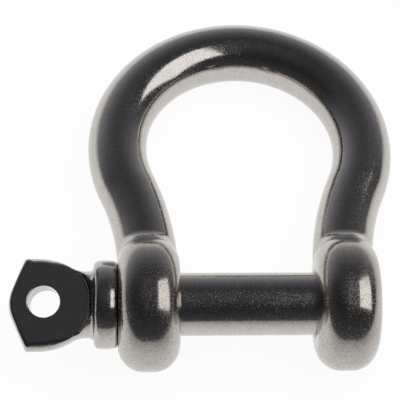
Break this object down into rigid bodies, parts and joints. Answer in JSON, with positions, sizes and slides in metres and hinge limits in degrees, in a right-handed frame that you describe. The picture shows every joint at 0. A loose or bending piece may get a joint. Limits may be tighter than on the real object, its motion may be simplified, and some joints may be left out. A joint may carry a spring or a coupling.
{
  "type": "bow shackle",
  "caption": "Bow shackle: a round bar bent to a bow with an eye at each end, closed by a screw pin with a collar and a pierced paddle head.",
  "frame": {"origin": "on the pin's axis, midway between the eyes", "axes": "+X along the pin towards the tapped eye, +Y from the pin to the crown of the bow, +Z normal to the plane of the bow"},
  "size_m": [0.0633, 0.066, 0.0214],
  "materials": {
    "bow_steel": "mirror polished stainless steel",
    "pin_steel": "mirror polished stainless steel"
  },
  "bodies": {
    "bow": {"bow": "bow_steel"},
    "pin": {"screw_pin": "pin_steel"}
  },
  "joints": [
    {"name": "pin_withdraw", "type": "slide", "parent": "bow", "child": "pin", "axis": [-1, 0, 0], "range_m": [0, 0.045]}
  ]
}
